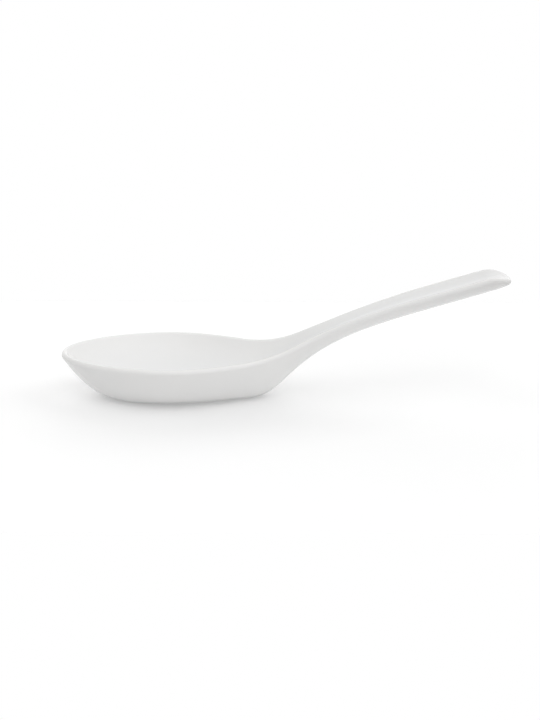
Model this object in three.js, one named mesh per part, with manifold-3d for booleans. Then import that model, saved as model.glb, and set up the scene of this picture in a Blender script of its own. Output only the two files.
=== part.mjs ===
// A porcelain soup spoon: an oval bowl on a low foot ring and a grooved handle, cast in one piece, glazed.
// Millimetres, +Z up. +X runs from the nose of the bowl to the tip of the handle. The foot stands on Z = 0.
import * as THREE from 'three';
import { mergeVertices } from 'three/addons/utils/BufferGeometryUtils.js';
import Module from 'manifold-3d';

// Outline seen from above. Places along the spoon are measured from the nose.
const length = 140;
const bowlWidth = 46.5;
const widestAt = 33.9;
const noseRound = 13.9; // how far the nose runs across before it turns back
const noseSweep = 12.9; // how far the nose runs straight into the widest place
const shoulderSweep = 17.1; // how far the bowl stays wide behind it
const waistAt = 84;
const waistWidth = 13.5; // the slimmest place of the handle
const waistSweep = 19.7; // how far the neck runs straight into the waist
const tipWidth = 15.3;
const tipRun = 14.3; // length of the rounded end
const tipSweep = 10.3; // how far the handle's edges run straight into the rounded end
const tipRound = 5.3; // how far the end runs across before it turns back

// Side view: the spine is the line of the rim, level over the bowl and then bent up along the handle.
const rimHeight = 14.5;
const throatAt = 56.2; // where the rim leaves the level
const throatRadius = 40;
const riseAngle = 25.8; // degrees, the steepest slope of the handle
const handleRadius = 261;
const tipAngle = 16.6; // degrees, the slope of the handle's outer half
const tipDrop = 3.2; // how far the rounded end bows down
const tipDropRun = 8.3;
const heelAt = 58.9; // where the underside leaves the level
const heelSweep = 12.2;
const neckAt = 98.6; // where the underside has become the handle's
const neckSweep = 31;

// Cross section
const lipRadius = 1;
const bowlFloor = 4; // thickness of the bowl at its middle
const handleFloor = 3.5; // thickness of the handle at the middle of its groove
const handleDepth = 5.5; // from the handle's edges down to its underside
const noseWallRun = 8.6; // how far the wall leans out, at the nose, the sides and the handle
const sideWallRun = 5;
const handleWallRun = 3;
const noseLevel = 17.4; // how far out the underside stays level, at the nose and the sides
const sideLevel = 8;
const levelEnd = 74; // where the level part has narrowed to nothing, behind the bowl
const innerCornerStep = 1; // how far the inner corner stands inside the outer one

// Foot ring, left bare, and the glaze that ends on both sides of it
const footAt = 35.5;
const footLength = 41;
const footWidth = 16;
const footHeight = 0.35;
const ringWidth = 2.2;
const ringEase = 0.2; // rounding of the ring's edges
const glaze = 0.3;
const wipedMargin = 0.35; // bare biscuit between the ring and the glaze

// Fineness of the mesh
const outlineSteps = 12; // for each of the outline's four curves
const wallSteps = 7;
const lipSteps = 7;
const insideSteps = 7;
const ovalSteps = 22;
const sideSteps = 24;

const { clamp, degToRad, lerp, smoothstep } = THREE.MathUtils;
const wasm = await Module();
wasm.setup();

// One side of the outline, from the nose over the widest place and the waist to the tip.
function halfOutline() {
  const bowlReach = bowlWidth / 2;
  const waistReach = waistWidth / 2;
  const tipReach = tipWidth / 2;
  const shoulderEnd = widestAt + shoulderSweep;
  const neckStart = waistAt - waistSweep;
  const flareEnd = length - tipRun;
  const flareMiddle = (waistAt + flareEnd) / 2;
  const side = new THREE.Path();
  side.moveTo(0, 0);
  side.bezierCurveTo(0, noseRound, widestAt - noseSweep, bowlReach, widestAt, bowlReach);
  side.bezierCurveTo(shoulderEnd, bowlReach, neckStart, waistReach, waistAt, waistReach);
  side.bezierCurveTo(flareMiddle, waistReach, flareMiddle, tipReach, flareEnd, tipReach);
  side.bezierCurveTo(flareEnd + tipSweep, tipReach, length, tipRound, length, 0);
  return side.getPoints(outlineSteps);
}

// Adds an arc that turns a side view's path smoothly from one slope to another.
function bend(path, radius, fromSlope, toSlope) {
  const { x, y } = path.currentPoint;
  const turn = Math.sign(toSlope - fromSlope);
  const quarter = turn * Math.PI / 2;
  const centreX = x - turn * radius * Math.sin(fromSlope);
  const centreY = y + turn * radius * Math.cos(fromSlope);
  path.absarc(centreX, centreY, radius, fromSlope - quarter, toSlope - quarter, turn < 0);
}

function spineLine() {
  const rise = degToRad(riseAngle);
  const slope = degToRad(tipAngle);
  const path = new THREE.Path();
  path.moveTo(0, rimHeight);
  path.lineTo(throatAt, rimHeight);
  bend(path, throatRadius, 0, rise);
  bend(path, handleRadius, rise, slope);
  const { x, y } = path.currentPoint;
  path.lineTo(x + length, y + length * Math.tan(slope));
  return path.getPoints(sideSteps);
}

// Height of a side view's line at a place along the spoon.
function heightAt(line, x) {
  const next = line.findIndex((point) => point.x > x);
  const low = line[next - 1];
  const high = line[next];
  return lerp(low.y, high.y, (x - low.x) / (high.x - low.x));
}

const spine = spineLine();
const spineAt = (x) => heightAt(spine, x);
const spineSlope = (x) => Math.atan(spineAt(x + 0.5) - spineAt(x - 0.5));
const dropAt = (x) => tipDrop * Math.max(0, (x - length + tipDropRun) / tipDropRun) ** 2;
const rimAt = (x) => spineAt(x) - dropAt(x);

// Underside of the bowl and neck, level and then swept up to meet the underside of the handle.
function keelLine() {
  const neckHeight = spineAt(neckAt) - handleDepth;
  const slope = spineSlope(neckAt);
  const path = new THREE.Path();
  path.moveTo(0, footHeight);
  path.lineTo(heelAt, footHeight);
  path.bezierCurveTo(
    heelAt + heelSweep, footHeight,
    neckAt - neckSweep * Math.cos(slope), neckHeight - neckSweep * Math.sin(slope),
    neckAt, neckHeight,
  );
  return path.getPoints(sideSteps);
}

const keel = keelLine();
const keelAt = (x) => (x < neckAt ? heightAt(keel, x) : spineAt(x) - handleDepth);
const keelSlope = (x) => keelAt(x + 0.5) - keelAt(x - 0.5);

// Angle on the lip's circle at which a line from a corner touches it, outside (-1) or inside (1).
function touchAngle(corner, lip, side) {
  const way = lip.clone().sub(corner);
  return way.angle() + side * (Math.asin(lipRadius / way.length()) + Math.PI / 2);
}

// Half of a cross section, from the middle of the underside, round the lip, to the middle of the inside.
// Each point holds its distance from the centre line and its height above the keel.
function halfSection(reach, depth, floor, wallRun, level) {
  const lip = new THREE.Vector2(reach - lipRadius, depth - lipRadius);
  const corner = new THREE.Vector2(Math.max(reach - wallRun, reach / 4), 0);
  const edge = new THREE.Vector2(level, 0);
  const innerCorner = new THREE.Vector2(Math.max(corner.x - innerCornerStep, reach / 5), floor);
  const outside = touchAngle(corner, lip, -1);
  const inside = touchAngle(innerCorner, lip, 1);
  const round = new THREE.EllipseCurve(lip.x, lip.y, lipRadius, lipRadius, outside, inside);
  const bead = round.getPoints(lipSteps);
  const wall = new THREE.QuadraticBezierCurve(edge, corner, bead[0]).getPoints(wallSteps);
  const bottom = new THREE.Vector2(0, floor);
  const hollow = new THREE.QuadraticBezierCurve(bead[lipSteps], innerCorner, bottom).getPoints(insideSteps);
  return [new THREE.Vector2(0, 0), ...wall, ...bead.slice(1, -1), ...hollow];
}

// The half section that stands on the line from the spoon's middle out to one point of its outline.
function ray(rim) {
  const middle = clamp(rim.x, widestAt, length - tipWidth / 2);
  const out = new THREE.Vector2(rim.x - middle, rim.y);
  const reach = out.length();
  out.normalize();
  const handleShare = smoothstep(middle, throatAt, neckAt);
  const noseShare = Math.max(0, -out.x) ** 2;
  const level = lerp(sideLevel * (1 - smoothstep(middle, widestAt, levelEnd)), noseLevel, noseShare);
  const bowlWallRun = lerp(sideWallRun, noseWallRun, noseShare);
  const wallRun = lerp(bowlWallRun, handleWallRun, handleShare);
  const floor = lerp(bowlFloor, handleFloor, handleShare) * Math.hypot(1, keelSlope(middle));
  const depth = rimAt(rim.x) - keelAt(rim.x);
  return halfSection(reach, depth, floor, wallRun, level).map((point) => {
    const x = middle + out.x * point.x;
    return new THREE.Vector3(x, out.y * point.x, keelAt(x) + point.y);
  });
}

// Joins vertices that coincide, and drops the triangles that this leaves without area.
function weld(geometry) {
  geometry.deleteAttribute('normal');
  geometry.deleteAttribute('uv');
  const welded = mergeVertices(geometry, 1e-5);
  const corners = welded.index.array;
  const kept = [];
  for (let at = 0; at < corners.length; at += 3) {
    const [a, b, c] = corners.slice(at, at + 3);
    if (a !== b && b !== c && c !== a) kept.push(a, b, c);
  }
  welded.setIndex(kept);
  return welded;
}

// The spoon's whole surface, as a skin over the rays of both sides.
function spoonSkin() {
  const left = halfOutline().map(ray);
  const mirrored = (point) => new THREE.Vector3(point.x, -point.y, point.z);
  const right = left.slice(1, -1).reverse().map((points) => points.map(mirrored));
  const rays = [...left, ...right];
  const size = rays[0].length;
  const corners = [];
  rays.forEach((points, number) => {
    const here = number * size;
    const next = ((number + 1) % rays.length) * size;
    for (let at = 0; at < size - 1; at++) {
      corners.push(here + at, next + at + 1, next + at, here + at, here + at + 1, next + at + 1);
    }
  });
  const geometry = new THREE.BufferGeometry().setFromPoints(rays.flat());
  geometry.setIndex(corners);
  return weld(geometry);
}

// A copy of a skin, moved inwards along its normals.
function sunk(skin, depth) {
  const inner = skin.clone();
  inner.computeVertexNormals();
  const place = inner.attributes.position;
  const normal = inner.attributes.normal;
  const point = new THREE.Vector3();
  const out = new THREE.Vector3();
  for (let at = 0; at < place.count; at++) {
    point.fromBufferAttribute(place, at);
    out.fromBufferAttribute(normal, at);
    point.addScaledVector(out, -depth);
    place.setXYZ(at, point.x, point.y, point.z);
  }
  inner.deleteAttribute('normal');
  return inner;
}

// An upright oval band on the line of the foot, wider than the ring by a margin on both sides.
function footBand(margin, low, high, ease) {
  const outer = [footLength / 2 + margin, footWidth / 2 + margin];
  const inner = outer.map((reach) => reach - ringWidth - 2 * margin);
  const band = new THREE.Shape();
  band.absellipse(footAt, 0, ...outer, 0, 2 * Math.PI);
  const opening = new THREE.Path();
  opening.absellipse(footAt, 0, ...inner, 0, 2 * Math.PI);
  band.holes.push(opening);
  const geometry = new THREE.ExtrudeGeometry(band, {
    depth: high - low - 2 * ease,
    curveSegments: ovalSteps,
    bevelEnabled: ease > 0,
    bevelThickness: ease,
    bevelSize: ease,
    bevelOffset: -ease,
    bevelSegments: 1,
  });
  geometry.translate(0, 0, low + ease);
  return weld(geometry);
}

function solid(geometry) {
  const vertProperties = new Float32Array(geometry.attributes.position.array);
  const triVerts = new Uint32Array(geometry.index.array);
  return new wasm.Manifold(new wasm.Mesh({ numProp: 3, vertProperties, triVerts }));
}

function subPart(name, body, material) {
  const { vertProperties, triVerts } = body.getMesh();
  const geometry = new THREE.BufferGeometry();
  geometry.setAttribute('position', new THREE.BufferAttribute(vertProperties, 3));
  geometry.setIndex(new THREE.BufferAttribute(triVerts, 1));
  geometry.computeVertexNormals();
  const mesh = new THREE.Mesh(geometry, new THREE.MeshStandardMaterial({ metalness: 0, ...material }));
  mesh.name = name;
  return mesh;
}

const skin = spoonSkin();
const biscuit = solid(sunk(skin, glaze));
const seatHeight = footHeight + bowlFloor / 2; // inside the bowl's floor
const footRing = solid(footBand(0, 0, seatHeight, ringEase));
const wipedBand = solid(footBand(wipedMargin, -footHeight, seatHeight, 0));
const glazing = solid(skin).subtract(biscuit).subtract(wipedBand);
const [coat, well] = glazing.decompose().sort((one, other) => other.volume() - one.volume());

const spoon = new THREE.Group();
spoon.position.x = -length / 2;
spoon.add(
  subPart('porcelain_body', biscuit.add(footRing), { color: '#efece6', roughness: 0.75 }),
  subPart('glaze_coat', coat, { color: '#f4f4f3', roughness: 0.12 }),
  subPart('foot_well_glaze', well, { color: '#f2f2f1', roughness: 0.15 }),
);

export default spoon;
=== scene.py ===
import math

import bmesh
import bpy
import numpy as np
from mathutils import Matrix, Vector, noise


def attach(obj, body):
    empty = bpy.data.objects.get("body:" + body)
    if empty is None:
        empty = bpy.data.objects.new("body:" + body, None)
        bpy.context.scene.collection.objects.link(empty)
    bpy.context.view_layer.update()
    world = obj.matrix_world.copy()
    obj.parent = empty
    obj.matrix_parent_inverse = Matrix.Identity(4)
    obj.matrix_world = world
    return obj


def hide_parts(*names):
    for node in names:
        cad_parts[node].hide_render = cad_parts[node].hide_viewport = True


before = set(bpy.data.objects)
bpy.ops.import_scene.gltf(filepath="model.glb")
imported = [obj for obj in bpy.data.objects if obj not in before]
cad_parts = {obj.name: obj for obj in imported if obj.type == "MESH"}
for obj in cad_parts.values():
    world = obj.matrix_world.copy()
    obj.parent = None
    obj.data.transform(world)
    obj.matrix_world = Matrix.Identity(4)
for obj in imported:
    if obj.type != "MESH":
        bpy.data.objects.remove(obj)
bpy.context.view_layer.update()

MM = 0.001
SNUG = 0.999  # keeps the finer surface inside the faceted solids' box

# Outline seen from above
LENGTH = 140
BOWL_WIDTH = 46.5
WIDEST_AT = 33.9
NOSE_ROUND = 13.9
NOSE_SWEEP = 12.9
SHOULDER_SWEEP = 17.1
WAIST_AT = 84
WAIST_WIDTH = 13.5
WAIST_SWEEP = 19.7
TIP_WIDTH = 15.3
TIP_RUN = 14.3
TIP_SWEEP = 10.3
TIP_ROUND = 5.3

# Side view
RIM_HEIGHT = 14.5
THROAT_AT = 56.2
THROAT_RADIUS = 40
RISE_ANGLE = math.radians(25.8)
HANDLE_RADIUS = 261
TIP_ANGLE = math.radians(16.6)
TIP_DROP = 3.2
TIP_DROP_RUN = 8.3
HEEL_AT = 58.9
HEEL_SWEEP = 12.2
NECK_AT = 98.6
NECK_SWEEP = 31

# Cross section
LIP_RADIUS = 1
BOWL_FLOOR = 4
HANDLE_FLOOR = 3.5
HANDLE_DEPTH = 5.5
NOSE_WALL_RUN = 8.6
SIDE_WALL_RUN = 5
HANDLE_WALL_RUN = 3
NOSE_LEVEL = 17.4
SIDE_LEVEL = 8
LEVEL_END = 74
INNER_CORNER_STEP = 1
CORNER_LEAST = 0.25  # the least place of a section's corners, as a share of its half width
INNER_CORNER_LEAST = 0.2

# Foot ring and glaze
FOOT_AT = 35.5
FOOT_LENGTH = 41
FOOT_WIDTH = 16
FOOT_HEIGHT = 0.35
RING_WIDTH = 2.2
RING_EASE = 0.2
RING_FLARE = 0.2
RING_ROOT = 1.2  # how deep the ring is rooted in the body
GLAZE = 0.3
WIPED_MARGIN = 0.35

# How thick the glaze looks, from 0 where it runs thin on the lip to 1 where it pools
EDGE_DEPTHS = (1, 0.6)
WALL_DEPTHS = (0.55, 0.35)
LIP_DEPTH = 0.35
POOLED_FROM = 0.7  # share of the way down the inside

# Colours and grain of the materials. The scales count a pattern's cells in a metre.
GLAZE_COLOURS = [(0, (0.9, 0.893, 0.88)), (0.5, (0.885, 0.884, 0.878)), (1, (0.872, 0.876, 0.874))]
GLAZE_CLOUDS = 70
GLAZE_DRIFT = 0.2
GLAZE_ROUGHNESS = (0.06, 0.13)
GLAZE_PEEL = 520
GLAZE_PEEL_STRENGTH = 0.12
GLAZE_INDEX = 1.5
BISCUIT_COLOURS = [(0, (0.83, 0.82, 0.79)), (1, (0.82, 0.76, 0.69))]
BISCUIT_GRAIN = 4200
BISCUIT_DRIFT = 0.25
BISCUIT_ROUGHNESS = (0.7, 0.95)
BISCUIT_TOOTH_STRENGTH = 0.35
FLASH_FROM, FLASH_FULL = 0.1, 0.7  # heights between which the bare ring warms towards the glaze
RELIEF = 0.1  # depth of the finest grain

# The slight unevenness of a cast and fired wall
WAVE = 0.03
WAVE_LENGTH = 16
WAVE_FROM, WAVE_FULL = 2, 6  # heights between which it sets in, so that the foot stays flat
WAVE_SEED = 5

# Fineness of the meshes
NOSE_RAYS = 60
BOWL_RAYS = 40
NECK_RAYS = 48
HANDLE_RAYS = 40
TIP_RAYS = 44
EDGE_ROWS = 5
CURVE_STEPS = 48
BEND_STEPS = 80
KEEL_STEPS = 160
SHOULDER_STEPS = 400
SLOPE_STEP = 0.5  # how far to both sides a slope is measured
WALL_ROWS = 18
LIP_ROWS = 14
INSIDE_ROWS = 20
OVAL_STEPS = 192
EASE_ROWS = 4
WELL_ROWS = 6
WELD = 0.002
SHARP_ANGLE = math.radians(50)

# Camera, found from the outlines in the photograph
CAMERA_ELEVATION = math.radians(16)
CAMERA_ROLL = math.radians(0.2)  # about its own line of sight
CAMERA_DISTANCE = 600
CAMERA_AIM = Vector((65.3, 0, 11.6))
PHOTO_SCALE = 3.187  # pixels for each millimetre at the aim
PHOTO_HEIGHT = 720  # pixels

# Studio: soft fields of light round the spoon. Each has the way to its middle and its strength there.
FIELD_NARROWING = 12  # the power of the cosine by which a field fades
FIELDS = {
    "back": ((0, 0.94, 0.3), 3.2),
    "back_left": ((-0.66, 0.66, 0.36), 1.4),
    "back_right": ((0.66, 0.66, 0.36), 0.7),
    "front": ((0, -0.6, 0.8), 2.5),
    "front_low": ((0, -0.94, 0.3), 1.5),
    "left": ((-0.6, 0, 0.8), 1.3),
    "right": ((0.8, 0, 0.6), 2.4),
    "below": ((0, 0, -1), 4.5),  # reaches the underside only when the floor is taken away
}
FLOOR_SIZE = 240  # no larger, so that it doesn't throw too much light on the handle
FLOOR_WHITE = 0.9
SEEN_WHITE = 0.66  # where the floor is seen, a glow stands in for a part of its white
SEEN_GLOW = 0.37
# Painted shadow on the floor: where the spoon is near, the seen floor's colour darkens, on top of its real
# shadow
PAINTED_SHADOW_WHITE = 0.46  # painted shadow: the seen floor's white where the spoon covers it
PAINTED_SHADOW_REACH = 42  # how near the spoon has to be for that painted shadow
PAINTED_SHADOW_LEAN = (-0.4, 0.6, 0.69)  # where the painted shadow looks for the spoon: above, and towards the back and the left
PAINTED_SHADOW_SAMPLES = 16


def bezier(points, steps):
    """Points along a Bezier curve of any degree."""
    share = np.linspace(0, 1, steps + 1)[:, None]
    degree = len(points) - 1
    return sum(
        math.comb(degree, k) * (1 - share) ** (degree - k) * share**k * np.array(point, float)
        for k, point in enumerate(points)
    )


def arc(middle, radius, start, end, steps):
    """Points of a circle's arc between two angles in degrees."""
    angle = np.radians(np.linspace(start, end, steps + 1))
    return np.array(middle) + radius * np.c_[np.cos(angle), np.sin(angle)]


def smooth_share(x, low, high):
    share = np.clip((x - low) / (high - low), 0, 1)
    return share * share * (3 - 2 * share)


def mixed(low, high, share):
    return low + (high - low) * share


def slope_of(line_at, x):
    """Slope of a side view's line at a place along the spoon."""
    return float(line_at(x + SLOPE_STEP) - line_at(x - SLOPE_STEP)) / (2 * SLOPE_STEP)


def bend(line, radius, start, end):
    """Adds an arc that turns a side view's line smoothly from one slope to another."""
    turn = math.copysign(1, end - start)
    x, z = line[-1]
    slopes = np.linspace(start, end, BEND_STEPS + 1)[1:]
    across = x + turn * radius * (np.sin(slopes) - math.sin(start))
    up = z - turn * radius * (np.cos(slopes) - math.cos(start))
    line.extend(zip(across, up))


def spine_line():
    line = [(0, RIM_HEIGHT), (THROAT_AT, RIM_HEIGHT)]
    bend(line, THROAT_RADIUS, 0, RISE_ANGLE)
    bend(line, HANDLE_RADIUS, RISE_ANGLE, TIP_ANGLE)
    x, z = line[-1]
    line.append((x + LENGTH, z + LENGTH * math.tan(TIP_ANGLE)))
    return np.array(line)


SPINE = spine_line()


def spine_at(x):
    return np.interp(x, SPINE[:, 0], SPINE[:, 1])


def rim_at(x):
    share = np.maximum(0, (x - LENGTH + TIP_DROP_RUN) / TIP_DROP_RUN)
    return spine_at(x) - TIP_DROP * share**2


def keel_line():
    neck = spine_at(NECK_AT) - HANDLE_DEPTH
    slope = math.atan(slope_of(spine_at, NECK_AT))
    sweep = (NECK_AT - NECK_SWEEP * math.cos(slope), neck - NECK_SWEEP * math.sin(slope))
    heel = [(HEEL_AT, FOOT_HEIGHT), (HEEL_AT + HEEL_SWEEP, FOOT_HEIGHT), sweep, (NECK_AT, neck)]
    return np.vstack([[(0, FOOT_HEIGHT)], bezier(heel, KEEL_STEPS)])


KEEL = keel_line()


def keel_at(x):
    neck = np.interp(x, KEEL[:, 0], KEEL[:, 1])
    return np.where(np.asarray(x) < NECK_AT, neck, spine_at(x) - HANDLE_DEPTH)


def outline():
    """One side of the outline, as the rays' ends. They lie close together where the glaze's edge turns."""
    bowl, waist, tip = BOWL_WIDTH / 2, WAIST_WIDTH / 2, TIP_WIDTH / 2
    flare_end = LENGTH - TIP_RUN
    flare_middle = (WAIST_AT + flare_end) / 2
    widest, narrowest, flared = (WIDEST_AT, bowl), (WAIST_AT, waist), (flare_end, tip)
    nose = bezier([(0, 0), (0, NOSE_ROUND), (WIDEST_AT - NOSE_SWEEP, bowl), widest], NOSE_RAYS)
    shoulder = (WIDEST_AT + SHOULDER_SWEEP, bowl)
    back = bezier([widest, shoulder, (WAIST_AT - WAIST_SWEEP, waist), narrowest], SHOULDER_STEPS)
    handle = bezier([narrowest, (flare_middle, waist), (flare_middle, tip), flared], HANDLE_RAYS)
    end = bezier([flared, (flare_end + TIP_SWEEP, tip), (LENGTH, TIP_ROUND), (LENGTH, 0)], TIP_RAYS)
    oval = FOOT_LENGTH / 2 + WIPED_MARGIN
    turn = np.linspace(math.acos((WIDEST_AT - FOOT_AT) / oval), 0, BOWL_RAYS + 1)[1:]
    edge = arc((FOOT_AT + oval + GLAZE, 0), GLAZE, 180, 90, EDGE_ROWS)[1:, 0]
    neck = np.linspace(edge[-1], WAIST_AT, NECK_RAYS + 1)[1:]
    places = np.r_[FOOT_AT + oval * np.cos(turn), edge, neck]
    middle = np.c_[places, np.interp(places, back[:, 0], back[:, 1])]
    return np.vstack([nose, middle, handle[1:], end[1:]])


def touch_angle(corner, lip, side):
    """Angle on the lip's circle where a line from a corner touches it, outside (-1) or inside (1)."""
    way = lip - corner
    turn = math.asin(LIP_RADIUS / np.hypot(*way)) + math.pi / 2
    return math.degrees(math.atan2(way[1], way[0]) + side * turn)


def cut(path, start, steps):
    """The part of a section's path that lies farther out than the start, in even steps."""
    first = (start, np.interp(start, path[:, 0], path[:, 1]))
    path = np.vstack([first, path[path[:, 0] > start]])
    run = np.r_[0, np.cumsum(np.hypot(*np.diff(path, axis=0).T))]
    even = np.linspace(0, run[-1], steps + 1)
    return np.c_[np.interp(even, run, path[:, 0]), np.interp(even, run, path[:, 1])]


class Ray:
    """Half a cross section, on the line from the spoon's middle out to one point of its outline.

    Its wall runs from the middle of the underside to the lip, and its inside on round the lip and down
    to the middle. Both hold distances from the middle and heights above the keel.
    """

    def __init__(self, rim):
        self.middle = min(max(rim[0], WIDEST_AT), LENGTH - TIP_WIDTH / 2)
        way = np.array([rim[0] - self.middle, rim[1]])
        reach = np.hypot(*way)
        self.out = way / reach
        handle = smooth_share(self.middle, THROAT_AT, NECK_AT)
        nose = max(0, -self.out[0]) ** 2
        side_level = SIDE_LEVEL * (1 - smooth_share(self.middle, WIDEST_AT, LEVEL_END))
        level = mixed(side_level, NOSE_LEVEL, nose)
        wall_run = mixed(mixed(SIDE_WALL_RUN, NOSE_WALL_RUN, nose), HANDLE_WALL_RUN, handle)
        floor = mixed(BOWL_FLOOR, HANDLE_FLOOR, handle) * math.hypot(1, slope_of(keel_at, self.middle))
        lip = np.array([reach, rim_at(rim[0]) - keel_at(rim[0])]) - LIP_RADIUS
        corner = np.array([max(reach - wall_run, reach * CORNER_LEAST), 0])
        inner_corner = np.array([max(corner[0] - INNER_CORNER_STEP, reach * INNER_CORNER_LEAST), floor])
        outer_touch = touch_angle(corner, lip, -1)
        inner_touch = touch_angle(inner_corner, lip, 1)
        bead = arc(lip, LIP_RADIUS, outer_touch, inner_touch, LIP_ROWS)
        self.wall = np.vstack([(0, 0), bezier([(level, 0), corner, bead[0]], CURVE_STEPS)])
        hollow = bezier([bead[-1], inner_corner, (0, floor)], INSIDE_ROWS)
        self.inside = np.vstack([bead[1:], hollow[1:]])

    def place(self, section):
        """Points of a section in the spoon's own space."""
        x = self.middle + self.out[0] * section[:, 0]
        return np.c_[x, self.out[1] * section[:, 0], keel_at(x) + section[:, 1]]

    def skin(self, start=0):
        return self.place(np.vstack([cut(self.wall, start, WALL_ROWS), self.inside]))

    def wall_height(self, reach):
        return np.interp(reach, self.wall[:, 0], self.wall[:, 1])

    def glaze_line(self, grow=0):
        """How far out the glaze ends under the bowl, moved out by grow. It is 0 behind the foot."""
        long = FOOT_LENGTH / 2 + WIPED_MARGIN + grow
        wide = FOOT_WIDTH / 2 + WIPED_MARGIN + grow
        a = (self.out[0] / long) ** 2 + (self.out[1] / wide) ** 2
        b = (self.middle - FOOT_AT) * self.out[0] / long**2
        c = ((self.middle - FOOT_AT) / long) ** 2 - 1
        return (math.sqrt(b * b - a * c) - b) / a if c < 0 else 0

    def glaze_edge(self):
        """The rounded edge of the glaze, from the bare body down to the coat's face."""
        past = self.middle - FOOT_AT - FOOT_LENGTH / 2 - WIPED_MARGIN
        rows = []
        for grow in arc((GLAZE, 0), GLAZE, 180, 90, EDGE_ROWS)[:-1, 0]:
            reach = self.glaze_line(grow)
            on = grow if reach > 0 else np.clip(past, 0, GLAZE)
            rise = GLAZE - math.sqrt(GLAZE**2 - (GLAZE - on) ** 2)
            rows.append((reach, self.wall_height(reach) + rise))
        return self.place(np.array(rows))


OUTLINE = outline()
NOSE = OUTLINE[: NOSE_RAYS + 1]
NOSE_TURN = np.arctan2(NOSE[:, 1], WIDEST_AT - NOSE[:, 0])
RAYS = [Ray(rim) for rim in OUTLINE]


def underside(x, y):
    """Height of the bowl's underside at a place near the foot."""
    if x < WIDEST_AT:
        turn = math.atan2(abs(y), WIDEST_AT - x)
        ray = Ray((np.interp(turn, NOSE_TURN, NOSE[:, 0]), np.interp(turn, NOSE_TURN, NOSE[:, 1])))
    else:
        ray = Ray((x, np.interp(x, OUTLINE[:, 0], OUTLINE[:, 1])))
    return keel_at(x) + ray.wall_height(math.hypot(x - ray.middle, y))


def mirrored(rows):
    """Rows of one side of the spoon followed by those of the other side, back to the nose."""
    rows = np.array(rows)
    return np.vstack([rows, rows[-2:0:-1] * (1, -1, 1)])


def oval_rows(section):
    """Rows of a section swept round the foot's oval, given outwards from the ring's edge and by height.

    What stands above the ring's eased edge follows the curve of the bowl's underside.
    """
    rows = []
    for turn in np.linspace(0, 2 * math.pi, OVAL_STEPS, endpoint=False):
        x = FOOT_AT + (FOOT_LENGTH / 2 + section[:, 0]) * math.cos(turn)
        y = -(FOOT_WIDTH / 2 + section[:, 0]) * math.sin(turn)
        lift = [underside(*place) - FOOT_HEIGHT for place in zip(x, y)]
        rows.append(np.c_[x, y, section[:, 1] + lift * (section[:, 1] > RING_EASE)])
    return np.array(rows)


def add_rows(shape, rows, closed=False, glaze_depth=None):
    """Adds a loop of rows of points to a shape, with faces between them."""
    layer = shape.verts.layers.float.get("glaze_depth") or shape.verts.layers.float.new("glaze_depth")
    points = [[shape.verts.new(place) for place in row] for row in rows]
    for row in points:
        for point, depth in zip(row, glaze_depth if glaze_depth is not None else []):
            point[layer] = depth
    length = len(points[0])
    for row, following in zip(points, points[1:] + points[:1]):
        for k in range(length if closed else length - 1):
            ahead = (k + 1) % length
            shape.faces.new([row[k], row[ahead], following[ahead], following[k]])


def weld(shape):
    bmesh.ops.remove_doubles(shape, verts=shape.verts, dist=WELD)
    bmesh.ops.dissolve_degenerate(shape, edges=shape.edges, dist=WELD)
    shape.normal_update()


def sunk_skin(starts):
    """The body's face under the glaze: the outer skin moved in by the glaze's thickness."""
    shape = bmesh.new()
    add_rows(shape, mirrored([ray.skin(start) for ray, start in zip(RAYS, starts)]))
    weld(shape)
    for point in shape.verts:
        point.co -= point.normal * GLAZE
    return shape


def warped(place):
    """A point of the cast wall, moved a little so that it isn't perfectly even."""
    way = noise.noise_vector(place / WAVE_LENGTH)
    return place + way * WAVE * float(smooth_share(place.z, WAVE_FROM, WAVE_FULL))


def piece(name, shape, material):
    """Turns a shape into a smooth object in the part's frame, in metres."""
    for point in shape.verts:
        point.co = (warped(point.co) - Vector((LENGTH / 2, 0, 0))) * SNUG * MM
    mesh = bpy.data.meshes.new(name)
    shape.to_mesh(mesh)
    shape.free()
    mesh.materials.append(material)
    made = bpy.data.objects.new(name, mesh)
    bpy.context.collection.objects.link(made)
    smooth(made)
    return made


def smooth(made):
    made.data.shade_smooth()
    made.data.set_sharp_from_angle(angle=SHARP_ANGLE)


def glaze_depths():
    """How thick the glaze looks on each row of a ray."""
    edge = np.linspace(*EDGE_DEPTHS, EDGE_ROWS)
    wall = np.linspace(*WALL_DEPTHS, WALL_ROWS + 1)
    lip = np.abs(np.linspace(-LIP_DEPTH, LIP_DEPTH, LIP_ROWS))
    inside = mixed(LIP_DEPTH, 1, smooth_share(np.linspace(0, 1, INSIDE_ROWS), 0, POOLED_FROM))
    return np.r_[edge, wall, lip, inside]


def make_coat(material):
    """The layer of glaze over the whole spoon, as a closed shell that stops short of the foot ring."""
    starts = [ray.glaze_line() for ray in RAYS]
    inner = sunk_skin(starts)
    bmesh.ops.reverse_faces(inner, faces=inner.faces)
    under = bpy.data.meshes.new("coat_underside")
    inner.to_mesh(under)
    inner.free()
    shape = bmesh.new()
    rows = [np.vstack([ray.glaze_edge(), ray.skin(ray.glaze_line(GLAZE))]) for ray in RAYS]
    add_rows(shape, mirrored(rows), glaze_depth=glaze_depths())
    weld(shape)
    shape.from_mesh(under)
    bpy.data.meshes.remove(under)
    bmesh.ops.bridge_loops(shape, edges=[edge for edge in shape.edges if edge.is_boundary])
    weld(shape)
    coat = piece("glossy_coat", shape, material)
    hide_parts("glaze_coat")
    return coat


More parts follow.
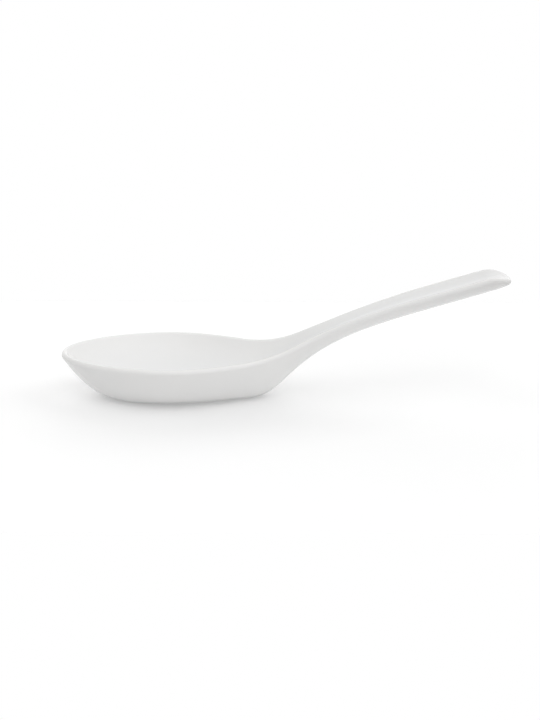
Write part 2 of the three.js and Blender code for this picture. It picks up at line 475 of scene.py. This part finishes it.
def ring_section():
    """The foot ring's section: eased edges on the table side, and a small flare where it joins the body."""
    face = FOOT_HEIGHT + GLAZE
    inner_ease = arc((RING_EASE - RING_WIDTH, RING_EASE), RING_EASE, 180, 270, EASE_ROWS)
    outer_ease = arc((-RING_EASE, RING_EASE), RING_EASE, 270, 360, EASE_ROWS)
    outer_flare = arc((RING_FLARE, face - RING_FLARE / 2), RING_FLARE, 180, 100, EASE_ROWS)
    inner_flare = arc((-RING_WIDTH - RING_FLARE, face - RING_FLARE / 2), RING_FLARE, 80, 0, EASE_ROWS)
    top = [(outer_flare[-1][0], face + RING_ROOT), (inner_flare[0][0], face + RING_ROOT)]
    return np.vstack([inner_ease, outer_ease, outer_flare, top, inner_flare])


def make_body(material):
    """The fired clay body under the glaze, with the bare ring that it stands on."""
    body = piece("fired_body", sunk_skin([0] * len(RAYS)), material)
    shape = bmesh.new()
    add_rows(shape, oval_rows(ring_section()), closed=True)
    ring = piece("ring", shape, material)
    join = body.modifiers.new("join", "BOOLEAN")
    join.operation = "UNION"
    join.solver = "EXACT"
    join.object = ring
    joined = body.evaluated_get(bpy.context.evaluated_depsgraph_get())
    whole = bpy.data.meshes.new_from_object(joined)
    body.modifiers.remove(join)
    body.data = whole
    bpy.data.objects.remove(ring)
    smooth(body)
    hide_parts("porcelain_body")
    return body


def make_well(material):
    """The island of glaze in the hollow inside the foot ring."""
    edge = -RING_WIDTH - WIPED_MARGIN
    bead = arc((edge - GLAZE, FOOT_HEIGHT + GLAZE), GLAZE, 270, 360, EDGE_ROWS)
    under = bezier([(-FOOT_WIDTH / 2, FOOT_HEIGHT), bead[0]], WELL_ROWS)
    over = bezier([bead[-1], (-FOOT_WIDTH / 2, FOOT_HEIGHT + GLAZE)], WELL_ROWS)
    section = np.vstack([under, bead[1:], over[1:]])
    shape = bmesh.new()
    add_rows(shape, oval_rows(section), glaze_depth=np.linspace(*EDGE_DEPTHS, len(section)))
    weld(shape)
    well = piece("well_glaze", shape, material)
    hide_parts("foot_well_glaze")
    return well


def add(tree, kind, inputs=None, **settings):
    """Adds a shader node, with its settings, and its inputs set to values or linked to other nodes."""
    node = tree.nodes.new("ShaderNode" + kind)
    for name, value in settings.items():
        setattr(node, name, value)
    for name, value in (inputs or {}).items():
        if isinstance(value, bpy.types.NodeSocket):
            tree.links.new(value, node.inputs[name])
        else:
            node.inputs[name].default_value = value
    return node


def new_tree(holder):
    holder.use_nodes = True
    holder.node_tree.nodes.clear()
    return holder.node_tree


def ramp(tree, share, stops):
    """A colour that follows a share through the given stops."""
    node = add(tree, "ValToRGB", {"Fac": share})
    elements = node.color_ramp.elements
    while len(elements) < len(stops):
        elements.new(1)
    for element, (position, colour) in zip(elements, stops):
        element.position = position
        element.color = (*colour, 1)
    return node.outputs["Color"]


def spread(tree, share, low, high):
    """A share from 0 to 1, spread between two values."""
    return add(tree, "MapRange", {"Value": share, "To Min": low, "To Max": high}).outputs["Result"]


def speckle(tree, place, scale, detail):
    """A soft random pattern from 0 to 1."""
    return add(tree, "TexNoise", {"Vector": place, "Scale": scale, "Detail": detail}).outputs["Fac"]


def relief(tree, height, strength):
    """The way a surface faces where a pattern's heights dent it."""
    shape = {"Height": height, "Strength": strength, "Distance": RELIEF * MM}
    return add(tree, "Bump", shape).outputs["Normal"]


def glaze_material():
    """Clear glossy glaze on white porcelain: cooler where it pools, warmer where it runs thin."""
    material = bpy.data.materials.new("gloss_glaze")
    tree = new_tree(material)
    place = add(tree, "TexCoord").outputs["Object"]
    depth = add(tree, "Attribute", attribute_name="glaze_depth").outputs["Fac"]
    clouds = speckle(tree, place, GLAZE_CLOUDS, detail=3)
    drift = spread(tree, clouds, -GLAZE_DRIFT, GLAZE_DRIFT)
    share = add(tree, "Math", {0: depth, 1: drift}, operation="ADD").outputs["Value"]
    colour = ramp(tree, share, GLAZE_COLOURS)
    gloss = spread(tree, clouds, *GLAZE_ROUGHNESS)
    peel = speckle(tree, place, GLAZE_PEEL, detail=2)
    skin = relief(tree, peel, GLAZE_PEEL_STRENGTH)
    looks = {"Base Color": colour, "Roughness": gloss, "Normal": skin, "IOR": GLAZE_INDEX}
    surface = add(tree, "BsdfPrincipled", looks)
    add(tree, "OutputMaterial", {"Surface": surface.outputs["BSDF"]})
    return material


def biscuit_material():
    """Bare fired porcelain: matt, with a fine grain, and a little warmer close to the glaze."""
    material = bpy.data.materials.new("bare_porcelain")
    tree = new_tree(material)
    place = add(tree, "TexCoord").outputs["Object"]
    height = add(tree, "SeparateXYZ", {"Vector": place}).outputs["Z"]
    grain = speckle(tree, place, BISCUIT_GRAIN, detail=4)
    heights = {"Value": height, "From Min": FLASH_FROM * MM, "From Max": FLASH_FULL * MM}
    flash = add(tree, "MapRange", heights).outputs["Result"]
    speck = spread(tree, grain, -BISCUIT_DRIFT, BISCUIT_DRIFT)
    share = add(tree, "Math", {0: flash, 1: speck}, operation="ADD").outputs["Value"]
    colour = ramp(tree, share, BISCUIT_COLOURS)
    rough = spread(tree, grain, *BISCUIT_ROUGHNESS)
    tooth = relief(tree, grain, BISCUIT_TOOTH_STRENGTH)
    surface = add(tree, "BsdfPrincipled", {"Base Color": colour, "Roughness": rough, "Normal": tooth})
    add(tree, "OutputMaterial", {"Surface": surface.outputs["BSDF"]})
    return material


def seen_directly(tree):
    """1 for what is seen, straight, in a reflection or through glass, and 0 for light that bounces."""
    path = add(tree, "LightPath").outputs
    seen = path["Is Camera Ray"]
    for kind in ("Is Glossy Ray", "Is Transmission Ray"):
        seen = add(tree, "Math", {0: seen, 1: path[kind]}, operation="MAXIMUM").outputs["Value"]
    return seen


def floor_material():
    """White studio paper that keeps the shadow. Where it is seen, a little glow makes it plain white, and a
    painted shadow darkens its colour where the spoon is near.
    """
    material = bpy.data.materials.new("white_paper_with_painted_shadow")
    tree = new_tree(material)
    paper = add(tree, "BsdfDiffuse", {"Color": (FLOOR_WHITE, FLOOR_WHITE, FLOOR_WHITE, 1)})
    # Painted shadow: an occlusion test, tilted towards the back and left, darkens the seen floor's colour
    # where the spoon is near
    lean = add(tree, "CombineXYZ", dict(zip("XYZ", PAINTED_SHADOW_LEAN))).outputs["Vector"]
    near = {"Distance": PAINTED_SHADOW_REACH * MM, "Normal": lean}
    clear = add(tree, "AmbientOcclusion", near, samples=PAINTED_SHADOW_SAMPLES).outputs["AO"]
    white = spread(tree, clear, PAINTED_SHADOW_WHITE, SEEN_WHITE)
    painted_shadow_paper = add(tree, "BsdfDiffuse", {"Color": white})
    glow = add(tree, "Emission", {"Strength": SEEN_GLOW})
    seen = add(tree, "AddShader", {0: painted_shadow_paper.outputs[0], 1: glow.outputs[0]})
    both = add(tree, "MixShader", {0: seen_directly(tree), 1: paper.outputs[0], 2: seen.outputs[0]})
    add(tree, "OutputMaterial", {"Surface": both.outputs["Shader"]})
    return material


def make_floor():
    half = FLOOR_SIZE / 2 * MM
    corners = [(-half, -half, 0), (half, -half, 0), (half, half, 0), (-half, half, 0)]
    mesh = bpy.data.meshes.new("floor")
    mesh.from_pydata(corners, [], [(0, 1, 2, 3)])
    mesh.materials.append(floor_material())
    floor = bpy.data.objects.new("floor", mesh)
    bpy.context.collection.objects.link(floor)


def make_world():
    """The fields of light that fall on the spoon, and plain white where the world itself is seen."""
    world = bpy.data.worlds.new("studio")
    bpy.context.scene.world = world
    tree = new_tree(world)
    way = add(tree, "TexCoord").outputs["Generated"]
    total = 0
    for middle, strength in FIELDS.values():
        facing = add(tree, "VectorMath", {0: way, 1: Vector(middle).normalized()}, operation="DOT_PRODUCT")
        ahead = add(tree, "Math", {0: facing.outputs["Value"], 1: 0}, operation="MAXIMUM")
        field = add(tree, "Math", {0: ahead.outputs["Value"], 1: FIELD_NARROWING}, operation="POWER")
        terms = {0: field.outputs["Value"], 1: strength, 2: total}
        total = add(tree, "Math", terms, operation="MULTIPLY_ADD").outputs["Value"]
    light = add(tree, "Background", {"Color": (1, 1, 1, 1), "Strength": total})
    white = add(tree, "Background", {"Color": (1, 1, 1, 1)})
    both = add(tree, "MixShader", {0: seen_directly(tree), 1: light.outputs[0], 2: white.outputs[0]})
    add(tree, "OutputWorld", {"Surface": both.outputs["Shader"]})


def make_camera():
    data = bpy.data.cameras.new("camera")
    data.lens = data.sensor_width * PHOTO_SCALE * CAMERA_DISTANCE / PHOTO_HEIGHT
    camera = bpy.data.objects.new("camera", data)
    back = Vector((0, -math.cos(CAMERA_ELEVATION), math.sin(CAMERA_ELEVATION)))
    camera.location = (CAMERA_AIM + back * CAMERA_DISTANCE - Vector((LENGTH / 2, 0, 0))) * MM
    camera.rotation_mode = "ZXY"
    camera.rotation_euler = (math.pi / 2 - CAMERA_ELEVATION, 0, CAMERA_ROLL)
    bpy.context.collection.objects.link(camera)
    bpy.context.scene.camera = camera


bpy.context.scene.view_settings.view_transform = "Standard"
noise.seed_set(WAVE_SEED)
make_camera()
make_world()
make_floor()

glaze = glaze_material()
biscuit = biscuit_material()
dressed = [(make_body(biscuit), "biscuit"), (make_coat(glaze), "glaze"), (make_well(glaze), "glaze")]
for made, slot in dressed:
    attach(made, "root")
